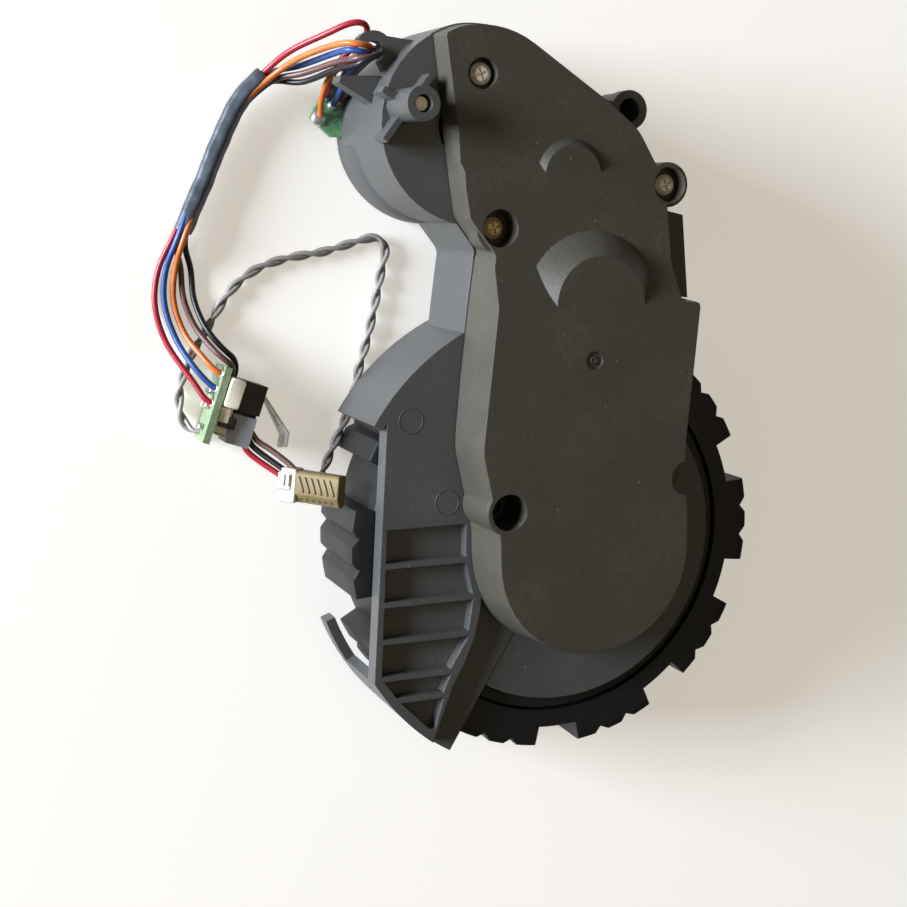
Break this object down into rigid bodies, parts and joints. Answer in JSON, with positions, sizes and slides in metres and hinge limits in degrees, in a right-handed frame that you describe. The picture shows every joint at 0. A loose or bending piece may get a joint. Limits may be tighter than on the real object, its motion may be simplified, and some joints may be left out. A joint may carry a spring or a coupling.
{
  "type": "robot vacuum wheel module",
  "caption": "Driven wheel module of a robot vacuum: a ribbed rubber tyre on a geared arm with its motor, gearbox cover and a wire harness with a lever switch.",
  "frame": {"origin": "the wheel's axis at its outer face, which is the surface that the module lies on", "axes": "+Z along the wheel's axis, from its outer face towards the gearbox; +Y from the wheel towards the motor"},
  "size_m": [0.1071, 0.1275, 0.0335],
  "materials": {
    "charcoal_abs": "fine moulded grain",
    "black_rubber": "dull moulded rubber",
    "grey_nylon": "plain moulded nylon",
    "steel": "plain zinc-plated steel",
    "brass": "plain brass",
    "board_green": "circuit board with a green mask",
    "cream_nylon": "plain moulded nylon",
    "black_phenolic": "plain moulding",
    "grey_metal": "dull metal case",
    "sleeve_tape": "shrunk sleeve",
    "wire_red": "wire insulation",
    "wire_blue": "wire insulation",
    "wire_orange": "wire insulation",
    "wire_brown": "wire insulation",
    "wire_black": "wire insulation",
    "wire_grey": "wire insulation"
  },
  "bodies": {
    "module": {"base_housing": "charcoal_abs", "cover_screw_1": "steel", "cover_screw_2": "steel", "cover_screw_3": "steel", "cover_screw_4": "steel", "cover_screw_5": "steel", "encoder_board": "board_green", "gear_pin_1": "steel", "gear_pin_2": "steel", "gear_pin_3": "steel", "gearbox_cover": "charcoal_abs", "grey_pair": "wire_grey", "harness_sleeve": "sleeve_tape", "lower_bearing": "steel", "motor_can": "steel", "motor_end_cap": "black_phenolic", "motor_terminal_1": "brass", "motor_terminal_2": "brass", "plug": "cream_nylon", "post_pin": "steel", "switch_base": "cream_nylon", "switch_board": "board_green", "switch_body": "grey_metal", "switch_case": "black_phenolic", "switch_pin_1": "steel", "switch_pin_2": "steel", "switch_pin_3": "steel", "upper_bush": "steel", "wire_black_lower": "wire_black", "wire_black_plug": "wire_black", "wire_black_upper": "wire_black", "wire_blue_lower": "wire_blue", "wire_blue_upper": "wire_blue", "wire_brown_lower": "wire_brown", "wire_brown_plug": "wire_brown", "wire_brown_upper": "wire_brown", "wire_orange_lower": "wire_orange", "wire_orange_upper": "wire_orange", "wire_red_lower": "wire_red", "wire_red_plug": "wire_red", "wire_red_upper": "wire_red"},
    "wheel": {"tyre": "black_rubber", "wheel_hub": "charcoal_abs", "hub_cap": "grey_nylon", "hub_screw": "steel", "wheel_shaft": "steel", "output_gear": "grey_nylon"},
    "third_gear": {"gear_3": "grey_nylon"},
    "second_gear": {"gear_2": "grey_nylon"},
    "first_gear": {"gear_1": "grey_nylon"},
    "rotor": {"motor_shaft": "steel", "motor_pinion": "brass", "encoder_magnet": "black_phenolic"},
    "lever": {"switch_lever": "steel"},
    "plunger": {"switch_plunger": "black_phenolic"}
  },
  "joints": [
    {"name": "wheel_spin", "type": "hinge", "parent": "module", "child": "wheel", "pos_m": [0, 0, 0.009], "axis": [0, 0, 1], "continuous": true},
    {"name": "third_gear_spin", "type": "hinge", "parent": "module", "child": "third_gear", "pos_m": [-0.0014, 0.021, 0.025], "axis": [0, 0, 1], "continuous": true},
    {"name": "second_gear_spin", "type": "hinge", "parent": "module", "child": "second_gear", "pos_m": [0.0005, 0.0424, 0.027], "axis": [0, 0, 1], "continuous": true},
    {"name": "first_gear_spin", "type": "hinge", "parent": "module", "child": "first_gear", "pos_m": [-0.0032, 0.0635, 0.023], "axis": [0, 0, 1], "continuous": true},
    {"name": "rotor_spin", "type": "hinge", "parent": "module", "child": "rotor", "pos_m": [-0.0187, 0.0716, 0.012], "axis": [0, 0, 1], "continuous": true},
    {"name": "lever_hinge", "type": "hinge", "parent": "module", "child": "lever", "pos_m": [-0.04968, 0.02604, 0.00245], "axis": [0, 0, 1], "range_deg": [-29, 0], "stiffness_Nm_per_rad": 0.0004},
    {"name": "plunger_slide", "type": "slide", "parent": "module", "child": "plunger", "axis": [-0.9449, 0.3272, 0], "range_m": [0, 0.0004], "stiffness_N_per_m": 150}
  ],
  "couplings": [
    {"joint": "third_gear_spin", "follows": "wheel_spin", "ratio": -1.8571},
    {"joint": "second_gear_spin", "follows": "wheel_spin", "ratio": 3.6111},
    {"joint": "first_gear_spin", "follows": "wheel_spin", "ratio": -5.5671},
    {"joint": "rotor_spin", "follows": "wheel_spin", "ratio": 12.4}
  ]
}
